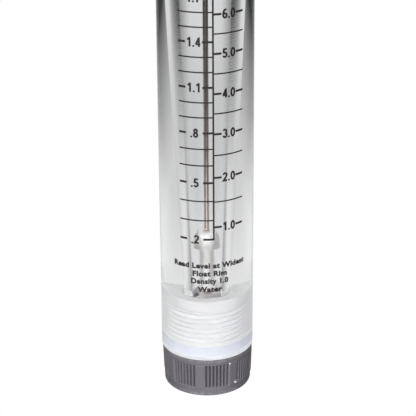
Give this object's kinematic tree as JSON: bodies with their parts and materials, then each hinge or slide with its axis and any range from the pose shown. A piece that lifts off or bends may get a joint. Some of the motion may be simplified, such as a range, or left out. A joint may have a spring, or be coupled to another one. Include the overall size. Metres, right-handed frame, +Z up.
{
  "type": "in-line flow meter",
  "caption": "Clear acrylic in-line flow meter with a tapered bore, a steel float on a guide rod, a printed double scale and a ribbed screwed pipe fitting at each end.",
  "frame": {"origin": "on the meter's axis, in the plane of the inlet fitting's lower face", "axes": "+Z up along the axis, the way the fluid flows; -Y is the side with the scale"},
  "size_m": [0.0318, 0.0318, 0.2026],
  "materials": {
    "clear_acrylic": "polished clear acrylic with black printed scale",
    "stainless": "turned stainless steel",
    "grey_plastic": "moulded grey PVC, lightly scuffed",
    "white_silicone": "translucent white silicone"
  },
  "bodies": {
    "meter": {"meter_body": "clear_acrylic", "guide_rod": "stainless", "lower_rod_holder": "stainless", "upper_rod_holder": "stainless", "lower_float_stop": "stainless", "upper_float_stop": "stainless", "lower_rod_nut": "stainless", "upper_rod_nut": "stainless"},
    "float": {"float": "stainless"},
    "lower_seal": {"lower_seal_ring": "white_silicone"},
    "lower_fitting": {"lower_end_fitting": "grey_plastic"},
    "upper_seal": {"upper_seal_ring": "white_silicone"},
    "upper_fitting": {"upper_end_fitting": "grey_plastic"}
  },
  "joints": [
    {"name": "float_rise", "type": "slide", "parent": "meter", "child": "float", "axis": [0, 0, 1], "range_m": [0, 0.1082]},
    {"name": "lower_fitting_travel", "type": "slide", "parent": "meter", "child": "lower_seal", "axis": [0, 0, -1], "range_m": [0, 0.01271]},
    {"name": "lower_fitting_turn", "type": "hinge", "parent": "lower_seal", "child": "lower_fitting", "pos_m": [0, 0, 0.007], "axis": [0, 0, -1], "range_deg": [0, 2520]},
    {"name": "upper_fitting_travel", "type": "slide", "parent": "meter", "child": "upper_seal", "axis": [0, 0, 1], "range_m": [0, 0.01271]},
    {"name": "upper_fitting_turn", "type": "hinge", "parent": "upper_seal", "child": "upper_fitting", "pos_m": [0, 0, 0.1956], "axis": [0, 0, 1], "range_deg": [0, 2520]}
  ],
  "couplings": [
    {"joint": "lower_fitting_travel", "follows": "lower_fitting_turn", "m_per_rad": 0.00028876},
    {"joint": "upper_fitting_travel", "follows": "upper_fitting_turn", "m_per_rad": 0.00028876}
  ]
}
